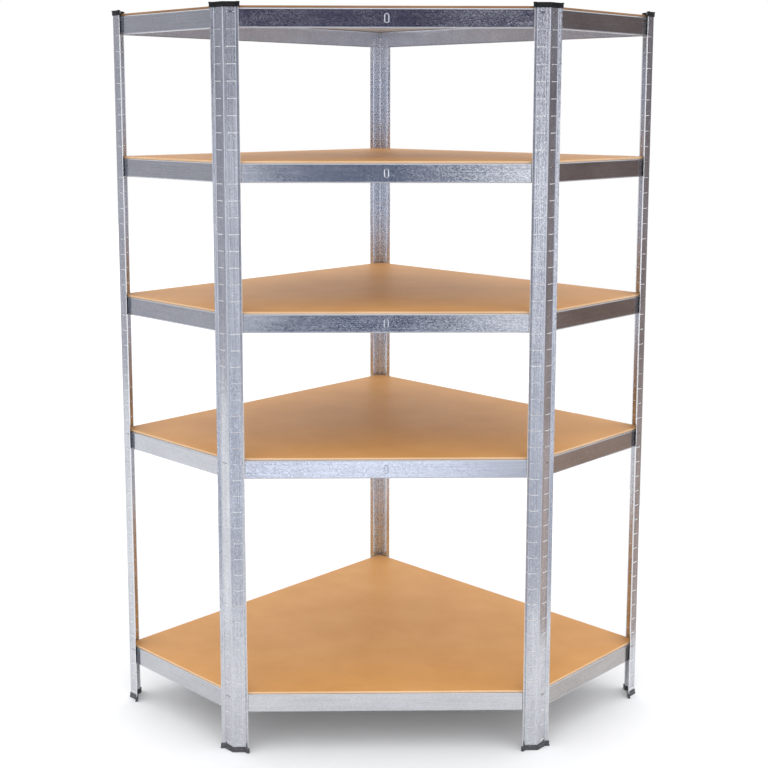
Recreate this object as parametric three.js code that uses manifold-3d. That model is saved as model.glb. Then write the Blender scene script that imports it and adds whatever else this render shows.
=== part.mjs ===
import * as THREE from "three";
import { mergeVertices } from "three/addons/utils/BufferGeometryUtils.js";
import Module from "manifold-3d";

// Corner shelf unit of folded galvanised steel, with five loose fibreboard shelves.
// Millimetres, +Z up. It stands on z = 0, its front faces -Y and its rear corner points to +Y.
// Seen from above it is a square with its front corner cut off.

// Plan: each wall side is wall_length long, and a short side of side_length stands square to it.
const wall_length = 960;
const side_length = 432;

// Posts: two sections of folded sheet stand end to end, each with two flats and two flared lips.
const section_length = 900;
const slots_per_section = 23;
const post_sheet = 1.2;
const flat_width = 30;
const lip_width = 9;
const lip_flare = Math.PI / 4;
const bend_radius = 1.5;
const edge_radius = 0.4;
const slot_inset = 9;
const slot_length = 18;
const slot_height = 3.4;

// Splices: an angle inside each post bridges the joint between its two sections.
const splice_sheet = 1.5;
const splice_leg = 27;
const splice_length = 112;
const splice_peg_length = 14;

// Beams: a folded channel hangs by a hook at each end from one slot row of the posts.
const beam_sheet = 1;
const beam_height = 45;
const beam_top_flange = 18;
const beam_bottom_flange = 9;
const beam_fold_radius = 2;
const beam_end_setback = 6;
const beam_top_above_slot = 8;
const hook_length = 12;
const hook_sheet = 1.2;
const hook_drop = 1.2;

// Boards: loose sheets that rest on the beams' top flanges.
const board_sheet = 5;
const board_inset = 4;

// Caps and feet: the same moulding closes the top and the bottom of every post.
const cap_height = 12;
const cap_floor = 2;
const cap_wall = 1.8;
const cap_brim = 1;
const cap_brim_height = 2.6;

// Touching pieces keep this gap, and cuts run past the faces that they open by this overrun.
const gap = 0.3;
const overrun = 1;
const merge_distance = 1e-4;
const fold_steps = 2;

// Slot rows that carry the five shelves, counted from the bottom of the posts.
const shelf_rows = [3, 18, 27, 36, 45];

const right_angle = Math.PI / 2;
const blunt_angle = (3 * Math.PI) / 4;
const slot_pitch = section_length / slots_per_section;
const post_foot = cap_floor + gap;
const joint_height = post_foot + section_length;
const upper_foot = joint_height + gap;
const web_offset = post_sheet + gap;

const steel = () =>
  new THREE.MeshStandardMaterial({ color: 0xb4bac2, roughness: 0.38, metalness: 0.9 });
const fibreboard = () =>
  new THREE.MeshStandardMaterial({ color: 0xc49a70, roughness: 0.75, metalness: 0 });
const black_plastic = () =>
  new THREE.MeshStandardMaterial({ color: 0x1c1c1f, roughness: 0.55, metalness: 0 });

const wasm = await Module();
wasm.setup();

// Joins and cuts work on closed solids whose shared corners are merged.
function solidFrom(geometry) {
  const bare = geometry.clone();
  bare.deleteAttribute("normal");
  bare.deleteAttribute("uv");
  const merged = mergeVertices(bare, merge_distance);
  const mesh = new wasm.Mesh({
    numProp: 3,
    vertProperties: new Float32Array(merged.attributes.position.array),
    triVerts: new Uint32Array(merged.index.array),
  });
  return new wasm.Manifold(mesh);
}

function geometryFrom(solid) {
  const mesh = solid.getMesh();
  const geometry = new THREE.BufferGeometry();
  geometry.setAttribute("position", new THREE.BufferAttribute(mesh.vertProperties, 3));
  geometry.setIndex(new THREE.BufferAttribute(mesh.triVerts, 1));
  geometry.computeVertexNormals();
  return geometry;
}

const joined = (solids) => solids.reduce((sum, solid) => sum.add(solid));

// An upright prism over a closed outline, from one height to another.
function prism(outline, bottom, top) {
  const shape = new THREE.Shape(outline);
  const geometry = new THREE.ExtrudeGeometry(shape, { depth: top - bottom, bevelEnabled: false });
  return geometry.translate(0, 0, bottom);
}

// A box between two corners, given in a frame that is turned about the upright axis.
function turnedBox(low, high, turn) {
  const size = new THREE.Vector3().subVectors(high, low);
  const middle = new THREE.Vector3().addVectors(low, high).multiplyScalar(1 / 2);
  const box = new THREE.BoxGeometry(size.x, size.y, size.z);
  return box.translate(middle.x, middle.y, middle.z).rotateZ(turn);
}

// The plan point at a distance along a direction, which is an angle from +Y towards +X.
const along = (start, distance, angle) =>
  new THREE.Vector2(start.x + distance * Math.sin(angle), start.y + distance * Math.cos(angle));

// Moves an open line sideways to its right, with mitred corners and longer or shorter ends.
function shifted(line, distance, longer) {
  const last = line.length - 1;
  return line.map((point, index) => {
    const before = new THREE.Vector2().subVectors(point, line[Math.max(index - 1, 0)]).normalize();
    const after = new THREE.Vector2().subVectors(line[Math.min(index + 1, last)], point).normalize();
    const incoming = index === 0 ? after : before;
    const outgoing = index === last ? before : after;
    const normalIn = new THREE.Vector2(incoming.y, -incoming.x);
    const normalOut = new THREE.Vector2(outgoing.y, -outgoing.x);
    const mitre = normalIn.clone().add(normalOut);
    const moved = point.clone().addScaledVector(mitre, (2 * distance) / mitre.lengthSq());
    if (index === 0) moved.addScaledVector(outgoing, -longer);
    if (index === last) moved.addScaledVector(incoming, longer);
    return moved;
  });
}

// Rounds the inner corners of an open line, each with its own radius.
function rounded(line, radii) {
  const points = [line[0]];
  radii.forEach((radius, index) => {
    const corner = line[index + 1];
    const back = new THREE.Vector2().subVectors(line[index], corner).normalize();
    const ahead = new THREE.Vector2().subVectors(line[index + 2], corner).normalize();
    const half = Math.acos(back.dot(ahead)) / 2;
    const middle = back.clone().add(ahead).normalize();
    const centre = corner.clone().addScaledVector(middle, radius / Math.sin(half));
    const sweep = Math.PI / 2 - half;
    const turn = Math.sign(back.cross(ahead));
    for (let step = 0; step <= fold_steps; step += 1) {
      const angle = turn * sweep * (1 - (2 * step) / fold_steps);
      const spoke = middle.clone().multiplyScalar(-radius);
      points.push(spoke.rotateAround(new THREE.Vector2(), angle).add(centre));
    }
  });
  return [...points, line[line.length - 1]];
}

// The outer face of a folded post in plan: lip, flat, bend at the origin, flat, lip.
// The post opens towards +Y, and the right side of the line is its outside.
function postLine(angle) {
  const half = angle / 2;
  const bend = new THREE.Vector2(0, 0);
  const leftFold = along(bend, flat_width, -half);
  const rightFold = along(bend, flat_width, half);
  return [
    along(leftFold, lip_width, -half - lip_flare),
    leftFold,
    bend,
    rightFold,
    along(rightFold, lip_width, half + lip_flare),
  ];
}

// The closed outline between the post's line moved outwards and moved inwards, folds rounded.
// The two lips fold the other way from the bend, so their round sides are swapped.
function band(line, outwards, inwards, longer) {
  const tight = (radius) => Math.max(radius, edge_radius);
  const lip_outer = tight(bend_radius - outwards);
  const lip_inner = bend_radius + inwards;
  const bend_outer = bend_radius + post_sheet + outwards;
  const bend_inner = tight(bend_radius + post_sheet - inwards);
  const outer = rounded(shifted(line, outwards, longer), [lip_outer, bend_outer, lip_outer]);
  const inner = rounded(shifted(line, -inwards, longer), [lip_inner, bend_inner, lip_inner]);
  return [...outer, ...inner.reverse()];
}

// The heights of one section's slot rows, measured from its lower end.
const slotRows = () =>
  Array.from({ length: slots_per_section }, (_, row) => (row + 1 / 2) * slot_pitch);

// The direction of each flat in plan, and on which side of it the inside of the post lies.
const flatsOf = (angle) => [
  { turn: Math.PI / 2 + angle / 2, inward: -1 },
  { turn: Math.PI / 2 - angle / 2, inward: 1 },
];

// A box on one flat: along it from the bend, through it from its outer face inwards, and up.
function boxOnFlat(flat, from, to, outside, inside, bottom, top) {
  const near = Math.min(outside * flat.inward, inside * flat.inward);
  const far = Math.max(outside * flat.inward, inside * flat.inward);
  const low = new THREE.Vector3(from, near, bottom);
  const high = new THREE.Vector3(to, far, top);
  return turnedBox(low, high, flat.turn);
}

function postSection(angle) {
  const face = postLine(angle);
  const body = solidFrom(prism(band(face, 0, post_sheet, 0), 0, section_length));
  const cuts = flatsOf(angle).flatMap((flat) =>
    slotRows().map((row) =>
      boxOnFlat(
        flat,
        slot_inset,
        slot_inset + slot_length,
        -overrun,
        post_sheet + overrun,
        row - slot_height / 2,
        row + slot_height / 2,
      ),
    ),
  );
  return geometryFrom(body.subtract(joined(cuts.map(solidFrom))));
}

// The angle lies against the inside of both flats, and four pegs sit in the slots by the joint.
function spliceAngle(angle) {
  const bend = new THREE.Vector2(0, 0);
  const legs = [along(bend, splice_leg, -angle / 2), bend, along(bend, splice_leg, angle / 2)];
  const outer = rounded(shifted(legs, -web_offset, 0), [bend_radius]);
  const inner = rounded(shifted(legs, -web_offset - splice_sheet, 0), [edge_radius]);
  const body = prism([...outer, ...inner.reverse()], -splice_length / 2, splice_length / 2);
  const middle = slot_inset + slot_length / 2;
  const peg_height = slot_height - 2 * gap;
  const pegs = flatsOf(angle).flatMap((flat) =>
    [-1, 1].map((side) => {
      const row = (side * (slot_pitch + gap)) / 2;
      return boxOnFlat(
        flat,
        middle - splice_peg_length / 2,
        middle + splice_peg_length / 2,
        gap,
        web_offset + splice_sheet / 2,
        row - peg_height / 2,
        row + peg_height / 2,
      );
    }),
  );
  return geometryFrom(joined([body, ...pegs].map(solidFrom)));
}

// A moulded channel that follows the post's edge, drawn as a foot: its floor lies on z = 0.
function capMoulding(angle) {
  const face = postLine(angle);
  const skirt = gap + cap_wall;
  const body = prism(band(face, skirt, post_sheet + skirt, skirt), 0, cap_height);
  const brim = prism(band(face, skirt + cap_brim, post_sheet, skirt + cap_brim), 0, cap_brim_height);
  const groove = prism(band(face, gap, post_sheet + gap, gap), cap_floor, cap_height + overrun);
  return geometryFrom(solidFrom(body).add(solidFrom(brim)).subtract(solidFrom(groove)));
}

// The folded channel of a beam in section: x runs inwards from the post's face, y runs up to 0.
function beamSection() {
  const outer_face = [
    new THREE.Vector2(web_offset + beam_bottom_flange, -beam_height),
    new THREE.Vector2(web_offset, -beam_height),
    new THREE.Vector2(web_offset, 0),
    new THREE.Vector2(web_offset + beam_top_flange, 0),
  ];
  const inner_radius = beam_fold_radius - beam_sheet;
  const outer = rounded(outer_face, [beam_fold_radius, beam_fold_radius]);
  const inner = rounded(shifted(outer_face, beam_sheet, 0), [inner_radius, inner_radius]);
  return [...inner, ...outer.reverse()];
}

// A hook in section: a tongue through the slot, and a nib that drops behind the slot's lower edge.
function hookSection() {
  const slot_bottom = -beam_top_above_slot - slot_height / 2;
  const tongue_bottom = slot_bottom + gap;
  const tongue_top = tongue_bottom + hook_sheet;
  const nib_back = -gap;
  const nib_front = nib_back - hook_sheet;
  const root = web_offset + beam_sheet / 2;
  return [
    new THREE.Vector2(root, tongue_bottom),
    new THREE.Vector2(root, tongue_top),
    new THREE.Vector2(nib_front, tongue_top),
    new THREE.Vector2(nib_front, slot_bottom - hook_drop),
    new THREE.Vector2(nib_back, slot_bottom - hook_drop),
    new THREE.Vector2(nib_back, tongue_bottom),
  ];
}

// Draws a section out along +X. At each end the cut follows the mitre of that corner.
function bar(section, start, end, startSlope, endSlope) {
  const shape = new THREE.Shape(section);
  const geometry = new THREE.ExtrudeGeometry(shape, { depth: 1, bevelEnabled: false });
  const position = geometry.attributes.position;
  for (let index = 0; index < position.count; index += 1) {
    const inwards = position.getX(index);
    const up = position.getY(index);
    const first = start + inwards * startSlope;
    const last = end - inwards * endSlope;
    const run_share = position.getZ(index);
    position.setXYZ(index, first + (last - first) * run_share, inwards, up);
  }
  return geometry;
}

// A beam along +X between two post bends, with the inside of the unit on its +Y side.
function beam(length, startAngle, endAngle) {
  const startSlope = 1 / Math.tan(startAngle / 2);
  const endSlope = 1 / Math.tan(endAngle / 2);
  const inner_end = length - beam_end_setback;
  const channel = bar(beamSection(), beam_end_setback, inner_end, startSlope, endSlope);
  const hook_start = slot_inset + (slot_length - hook_length) / 2;
  const hook_end = hook_start + hook_length;
  const hooks = [
    bar(hookSection(), hook_start, hook_end, 0, 0),
    bar(hookSection(), length - hook_end, length - hook_start, 0, 0),
  ];
  return geometryFrom(joined([channel, ...hooks].map(solidFrom)));
}

// Plan corners, in the order that keeps the inside of the unit on the left.
const wall_reach = wall_length * Math.SQRT1_2;
const front_half = (wall_length - side_length) * Math.SQRT1_2;
const front_depth = (wall_length + side_length) * Math.SQRT1_2;
const corners = [
  { name: "rear", place: new THREE.Vector2(0, 0), angle: right_angle },
  { name: "left_wall", place: new THREE.Vector2(-wall_reach, -wall_reach), angle: right_angle },
  { name: "left_front", place: new THREE.Vector2(-front_half, -front_depth), angle: blunt_angle },
  { name: "right_front", place: new THREE.Vector2(front_half, -front_depth), angle: blunt_angle },
  { name: "right_wall", place: new THREE.Vector2(wall_reach, -wall_reach), angle: right_angle },
];
const beam_names = ["left_wall", "left_side", "front", "right_side", "right_wall"];
const nextOf = (index) => corners[(index + 1) % corners.length];
const previousOf = (index) => corners[(index + corners.length - 1) % corners.length];

// Each post is turned so that its two flats point at its two neighbours.
corners.forEach((corner, index) => {
  const ahead = new THREE.Vector2().subVectors(nextOf(index).place, corner.place).normalize();
  const back = new THREE.Vector2().subVectors(previousOf(index).place, corner.place).normalize();
  const middle = ahead.add(back);
  corner.turn = Math.atan2(middle.y, middle.x) - Math.PI / 2;
});

// The board's outline: the plan of the bends, drawn in by the board's clearance on every side.
function boardOutline() {
  return corners.map((corner) => {
    const inward = new THREE.Vector2(0, board_inset / Math.sin(corner.angle / 2));
    return inward.rotateAround(new THREE.Vector2(), corner.turn).add(corner.place);
  });
}

const slotHeight = (row) => {
  const upper = row >= slots_per_section;
  const start = upper ? upper_foot : post_foot;
  return start + ((row % slots_per_section) + 1 / 2) * slot_pitch;
};

const unit = new THREE.Group();

function place(name, geometry, material, x, y, z, turn) {
  const mesh = new THREE.Mesh(geometry, material);
  mesh.name = name;
  mesh.position.set(x, y, z);
  mesh.rotation.z = turn;
  unit.add(mesh);
  return mesh;
}

// Posts, splices, feet and caps at the five corners.
const total_height = upper_foot + section_length + post_foot;
const shapes = new Map(
  [right_angle, blunt_angle].map((angle) => [
    angle,
    { section: postSection(angle), splice: spliceAngle(angle), cap: capMoulding(angle) },
  ]),
);
corners.forEach(({ name, place: spot, angle, turn }) => {
  const { section, splice, cap } = shapes.get(angle);
  place(`post_${name}_lower`, section, steel(), spot.x, spot.y, post_foot, turn);
  place(`post_${name}_upper`, section, steel(), spot.x, spot.y, upper_foot, turn);
  place(`splice_${name}`, splice, steel(), spot.x, spot.y, joint_height + gap / 2, turn);
  place(`foot_${name}`, cap, black_plastic(), spot.x, spot.y, 0, turn);
  const top = cap.clone().rotateY(Math.PI);
  place(`cap_${name}`, top, black_plastic(), spot.x, spot.y, total_height, turn);
});

// Five shelves, each a ring of five beams and a loose board.
const board_outline = boardOutline();
shelf_rows.forEach((row, shelf) => {
  const number = shelf + 1;
  const beam_top = slotHeight(row) + beam_top_above_slot;
  corners.forEach((corner, index) => {
    const next = nextOf(index);
    const run = new THREE.Vector2().subVectors(next.place, corner.place);
    const shape = beam(run.length(), corner.angle, next.angle);
    const name = `beam_${number}_${beam_names[index]}`;
    place(name, shape, steel(), corner.place.x, corner.place.y, beam_top, run.angle());
  });
  const board = prism(board_outline, 0, board_sheet);
  place(`board_${number}`, board, fibreboard(), 0, 0, beam_top + gap, 0);
});

// The origin is under the middle of the unit's box, on the floor.
const box = new THREE.Box3().setFromObject(unit);
unit.position.set(0, -(box.min.y + box.max.y) / 2, 0);

export default unit;
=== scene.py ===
"""Corner shelf unit of folded galvanised steel, with five loose fibreboard shelves.

Metres, +Z up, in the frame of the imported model: it stands on z = 0, its front faces -Y and its rear
corner points to +Y. Lengths below are in millimetres until a piece is placed.
"""
import math

import bpy
import numpy as np
from mathutils import Matrix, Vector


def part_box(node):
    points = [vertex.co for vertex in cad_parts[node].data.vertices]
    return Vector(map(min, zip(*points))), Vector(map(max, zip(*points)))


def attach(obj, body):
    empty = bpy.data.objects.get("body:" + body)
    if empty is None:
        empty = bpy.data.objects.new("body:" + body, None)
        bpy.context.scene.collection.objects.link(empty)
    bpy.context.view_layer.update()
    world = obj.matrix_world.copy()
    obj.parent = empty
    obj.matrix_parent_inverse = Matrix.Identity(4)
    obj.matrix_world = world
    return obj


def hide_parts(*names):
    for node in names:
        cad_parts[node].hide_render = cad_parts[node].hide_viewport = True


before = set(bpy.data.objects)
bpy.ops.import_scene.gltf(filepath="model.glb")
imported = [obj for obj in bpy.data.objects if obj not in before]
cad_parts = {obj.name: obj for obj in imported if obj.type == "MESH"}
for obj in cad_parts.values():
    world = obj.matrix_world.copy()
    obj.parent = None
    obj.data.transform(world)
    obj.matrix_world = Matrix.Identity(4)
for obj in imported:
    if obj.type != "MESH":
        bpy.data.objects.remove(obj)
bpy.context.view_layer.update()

MM = 0.001
WALL_LENGTH = 960
SIDE_LENGTH = 432

# Posts: two flats, two flared lips, and a row of slits in each flat. Below each slit the flat is turned
# out into a ledge.
SECTION_LENGTH = 900
SLOTS_PER_SECTION = 23
POST_SHEET = 1.2
FLAT_WIDTH = 30
LIP_WIDTH = 9
LIP_FLARE = math.pi / 4
BEND_RADIUS = 1.5
SLOT_INSET = 9
SLOT_LENGTH = 18
SLIT_GAP = 0.4
SLIT_HOLE = 1.4
LEDGE_PUSH = 2.8
LEDGE_DROP = 0.9
LEDGE_ROOT = 0.15
LEDGE_FULLNESS = 0.7
FOLD_MARGIN = 0.3

# The rows of points around a slit: how far they reach from its middle, and how much of the ledge's push
# each row has. The ledge is the fourth strip of cells and the slit the fifth, counted from the row before.
SLOT_REACH = 6.5
SLOT_UPPER_ROW = 3.4
PUSH_OF_ROWS = [0, 0, 1, 0.1, 0, 0, 0]
LEDGE_STRIP = 3
SLIT_STRIP = 4

# Along a slit, as shares of its length: its points, and how high it is open at each. It is narrow, with a
# relief hole near each end.
SLIT_SHARES = np.array([0, 0.04, 0.1, 0.15, 0.3, 0.5, 0.7, 0.85, 0.9, 0.96, 1])
SLIT_OPENINGS = np.array([SLIT_GAP, SLIT_HOLE, SLIT_HOLE, SLIT_GAP, SLIT_GAP, SLIT_GAP, SLIT_GAP, SLIT_GAP,
                          SLIT_HOLE, SLIT_HOLE, SLIT_GAP])

# Splices, and the pegs that they put through the slits beside the joint.
SPLICE_SHEET = 1.5
SPLICE_LEG = 27
SPLICE_LENGTH = 112
SPLICE_MARKS = [[2, 12], [12, 23]]
PEG_REACH = 0.5
PEG_EASE = 0.3
PEG_SHARES = np.array([0.18, 0.22, 0.78, 0.82])
PEG_SLIMNESS = np.array([0.4, 1, 1, 0.4])
PEG_ROOT_HALF, PEG_TIP_HALF = 0.5, 0.2

# Beams, their hooks, and the pressing in the middle of each front beam.
BEAM_SHEET = 1
BEAM_HEIGHT = 45
BEAM_TOP_FLANGE = 18
BEAM_BOTTOM_FLANGE = 9
BEAM_FOLD_RADIUS = 2
BEAM_END_SETBACK = 6
BEAM_TOP_ABOVE_SLOT = 8
BEAM_TONGUE_HEIGHT = 16
BEAM_NOTCH = 31
BEAM_FOLD_MARGIN = 0.8
BEAM_END_STATION = 3
BEAM_FIRST_STATION = 80
BEAM_STATION_STEP = 60
BEAM_MIDDLE_CLEAR = 20
HOOK_LENGTH = 12
HOOK_SHEET = 1.2
HOOK_DROP = 3.4
HOOK_SHARES = np.array([0, 0.06, 0.2, 0.35, 0.5, 0.65, 0.8, 0.94, 1])
HOOK_TIP_SLIMNESS = 0.5
HOOK_TIP_TAPER = 8
HOOK_EASE = 0.35
NIB_EASE = 0.2
NIB_ROOT = 0.4
PRESSING_HEIGHT = 22
PRESSING_WIDTH = 11
PRESSING_DEPTH = 0.18
PRESSING_RIB = 0.8
PRESSING_MARGIN = 2
PRESSING_ROWS = 65
PRESSING_COLUMNS = 41
PLAIN_WEB_ROW = 28

# Boards, and the mouldings on the posts' ends.
BOARD_SHEET = 5
BOARD_INSET = 4
BOARD_CORNER = 3
BOARD_EASE = 0.7
BOARD_EASE_STEP = 0.15
MOULDING_HEIGHT = 12
MOULDING_FLOOR = 2
MOULDING_WALL = 1.8
MOULDING_BRIM = 1
MOULDING_BRIM_HEIGHT = 2.6
EDGE_RADIUS = 0.4

# The clearance between pieces that touch on the real rack.
GAP = 0.3

# The slot rows that carry the shelves, counted from 0 at the bottom of the posts.
SHELF_ROWS = [3, 18, 27, 36, 45]
SLOT_PITCH = SECTION_LENGTH / SLOTS_PER_SECTION
POST_FOOT = MOULDING_FLOOR + GAP
UPPER_FOOT = POST_FOOT + SECTION_LENGTH + GAP
TOTAL_HEIGHT = UPPER_FOOT + SECTION_LENGTH + POST_FOOT
WEB_OFFSET = POST_SHEET + GAP
RIGHT_ANGLE = math.pi / 2
BLUNT_ANGLE = 3 * math.pi / 4

# The steps in which a rounded corner is drawn, and the angle from which an edge looks sharp.
FOLD_STEPS = 4
FINE_FOLD_STEPS = 5
BOARD_CORNER_STEPS = 6
SHARP_FROM_DEGREES = 35


# Arrays of points

def right_of(direction):
    """The unit direction turned a quarter turn to the right: (x, y) becomes (y, -x)."""
    return np.stack([direction[..., 1], -direction[..., 0]], axis=-1)


def heading(angle):
    """The plan direction at an angle from +Y towards +X."""
    return np.array([math.sin(angle), math.cos(angle)])


def shifted_line(line, distance, longer=0):
    """Moves an open line to its right by a distance, its corners along their mitres: each corner goes
    along the sum of its two normals, times twice the distance over that sum's square. The two ends
    are drawn out by longer."""
    along = np.diff(line, axis=0)
    along /= np.linalg.norm(along, axis=1, keepdims=True)
    before = np.concatenate([along[:1], along])
    after = np.concatenate([along, along[-1:]])
    mitre = right_of(before) + right_of(after)
    moved = line + mitre * (2 * distance / (mitre**2).sum(axis=1, keepdims=True))
    moved[0] -= along[0] * longer
    moved[-1] += along[-1] * longer
    return moved


def folded_line(corners, radii, marks, steps):
    """A line with rounded corners. Each inner corner becomes an arc of its radius, tangent to both
    straights: a point at the centre plus the radius times the normal, which turns evenly. marks gives,
    for each straight, the distances of extra points from its first corner. Returns the points and
    their normals on the line's right side."""
    along = np.diff(corners, axis=0)
    along /= np.linalg.norm(along, axis=1, keepdims=True)
    points, normals = [corners[:1]], [right_of(along[:1])]
    for i, direction in enumerate(along):
        on_straight = corners[i] + np.outer(marks[i], direction)
        points.append(on_straight)
        normals.append(np.tile(right_of(direction), (len(on_straight), 1)))
        if i == len(along) - 1:
            break
        ahead = along[i + 1]
        turn = math.atan2(direction[0] * ahead[1] - direction[1] * ahead[0], direction @ ahead)
        side = math.copysign(1, turn)
        tangent = radii[i] * math.tan(abs(turn) / 2)
        start = corners[i + 1] - direction * tangent
        centre = start - side * radii[i] * right_of(direction)
        swing = np.linspace(0, turn, steps + 1) + math.atan2(-direction[0], direction[1])
        normal = np.stack([np.cos(swing), np.sin(swing)], axis=-1)
        points.append(centre + side * radii[i] * normal)
        normals.append(normal)
    points.append(corners[-1:])
    normals.append(right_of(along[-1:]))
    return np.concatenate(points), np.concatenate(normals)


def sheet_shell(middle, normal, metal, thickness):
    """A closed sheet over a grid of points: two faces half a thickness to each side of the middle
    surface, and a wall wherever a cell of metal meets a cut-out or the sheet's edge."""
    count = middle.shape[0] * middle.shape[1]
    points = np.concatenate([
        (middle + normal * thickness / 2).reshape(-1, 3),
        (middle - normal * thickness / 2).reshape(-1, 3),
    ])
    index = np.arange(count).reshape(middle.shape[:2])
    face = np.stack([index[:-1, :-1], index[1:, :-1], index[1:, 1:], index[:-1, 1:]], axis=-1)[metal]
    padded = np.pad(metal, 1)
    here, before = padded[1:, 1:-1], padded[:-1, 1:-1]
    p, q = index[:, :-1], index[:, 1:]
    low_wall = np.stack([p, q, q + count, p + count], axis=-1)[here & ~before]
    high_wall = np.stack([q, p, p + count, q + count], axis=-1)[before & ~here]
    here, before = padded[1:-1, 1:], padded[1:-1, :-1]
    r, s = index[:-1, :], index[1:, :]
    left_wall = np.stack([s, r, r + count, s + count], axis=-1)[here & ~before]
    right_wall = np.stack([r, s, s + count, r + count], axis=-1)[before & ~here]
    return points, [face, face[:, ::-1] + count, low_wall, high_wall, left_wall, right_wall]


def loft_shell(rings, strip_ends=False):
    """A closed body through rings of equally many points: each ring is joined to the next by quads,
    and the first and last ring are closed by one face, or by a strip of quads where the ring runs
    along a line and back."""
    levels, around = rings.shape[:2]
    index = np.arange(levels * around).reshape(levels, around)
    turned = np.roll(index, -1, axis=1)
    sides = np.stack([index[:-1], turned[:-1], turned[1:], index[1:]], axis=-1).reshape(-1, 4)
    if strip_ends:
        first = np.arange(around // 2 - 1)
        back = around - 1 - first
        strip = np.stack([first, back, back - 1, first + 1], axis=-1)
        ends = [strip, strip[:, ::-1] + index[-1, 0]]
    else:
        ends = [index[:1, ::-1], index[-1:]]
    return rings.reshape(-1, 3), [sides, *ends]


def joined_shells(shells):
    """Several closed shells as one: their points in one list, each shell's faces counted on."""
    starts = np.cumsum([0] + [len(points) for points, _ in shells[:-1]])
    faces = [group + start for start, (_, groups) in zip(starts, shells) for group in groups]
    return np.concatenate([points for points, _ in shells]), faces


def enclosed_volume(points, faces):
    """Six times the volume inside a shell: the sum over its triangles of a . (b x c)."""
    total = 0
    for group in faces:
        first = points[group[:, 0]]
        for i in range(1, group.shape[1] - 1):
            total += (first * np.cross(points[group[:, i]], points[group[:, i + 1]])).sum()
    return total


def placed(shell, spot, height, turn):
    """Turns a shell about the upright axis, moves it to a plan spot and a height, and gives metres."""
    points, faces = shell
    cos, sin = math.cos(turn), math.sin(turn)
    turned = points @ np.array([[cos, sin, 0], [-sin, cos, 0], [0, 0, 1]])
    return (turned + [spot[0], spot[1], height]) * MM, faces


def turned_out(shell):
    """The same shell with its faces outwards."""
    points, faces = shell
    if enclosed_volume(points, faces) < 0:
        faces = [group[:, ::-1] for group in faces]
    return points, faces


def add_piece(node, shell, material, body, accents=()):
    """Puts a shell into the scene in place of its CAD node, smooth over its folds and sharp at its
    edges. accents are pairs of another material and the groups of faces that carry it."""
    points, faces = shell
    corners = np.concatenate([group.ravel() for group in faces]).astype(np.int32)
    sizes = np.concatenate([np.full(len(group), group.shape[1]) for group in faces])
    starts = np.concatenate([[0], np.cumsum(sizes)[:-1]]).astype(np.int32)
    mesh = bpy.data.meshes.new(node + "_look")
    mesh.vertices.add(len(points))
    mesh.vertices.foreach_set("co", points.astype(np.float32).ravel())
    mesh.loops.add(len(corners))
    mesh.loops.foreach_set("vertex_index", corners)
    mesh.polygons.add(len(sizes))
    mesh.polygons.foreach_set("loop_start", starts)
    mesh.update(calc_edges=True)
    mesh.materials.append(material)
    material_of = np.zeros(len(faces), np.int32)
    for number, (accent, groups) in enumerate(accents, start=1):
        mesh.materials.append(accent)
        material_of[list(groups)] = number
    group_sizes = [len(group) for group in faces]
    mesh.polygons.foreach_set("material_index", np.repeat(material_of, group_sizes))
    mesh.shade_smooth()
    mesh.set_sharp_from_angle(angle=math.radians(SHARP_FROM_DEGREES))
    piece = bpy.data.objects.new(node + "_look", mesh)
    bpy.context.scene.collection.objects.link(piece)
    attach(piece, body)
    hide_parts(node)
    return piece


# Shapes of the pieces, each in its own frame

def post_face(angle):
    """The outer face of a folded post in plan: lip, flat, bend at the origin, flat, lip."""
    half = angle / 2
    left_fold, right_fold = heading(-half) * FLAT_WIDTH, heading(half) * FLAT_WIDTH
    return np.array([
        left_fold + heading(-half - LIP_FLARE) * LIP_WIDTH,
        left_fold,
        [0, 0],
        right_fold,
        right_fold + heading(half + LIP_FLARE) * LIP_WIDTH,
    ])


def near_folds(normal):
    """The strips of a folded line that bend, and the short strips to each side of them."""
    bent = np.abs(np.diff(normal, axis=0)).sum(axis=1) > 1e-6
    return bent | np.roll(bent, 1) | np.roll(bent, -1)


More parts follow.
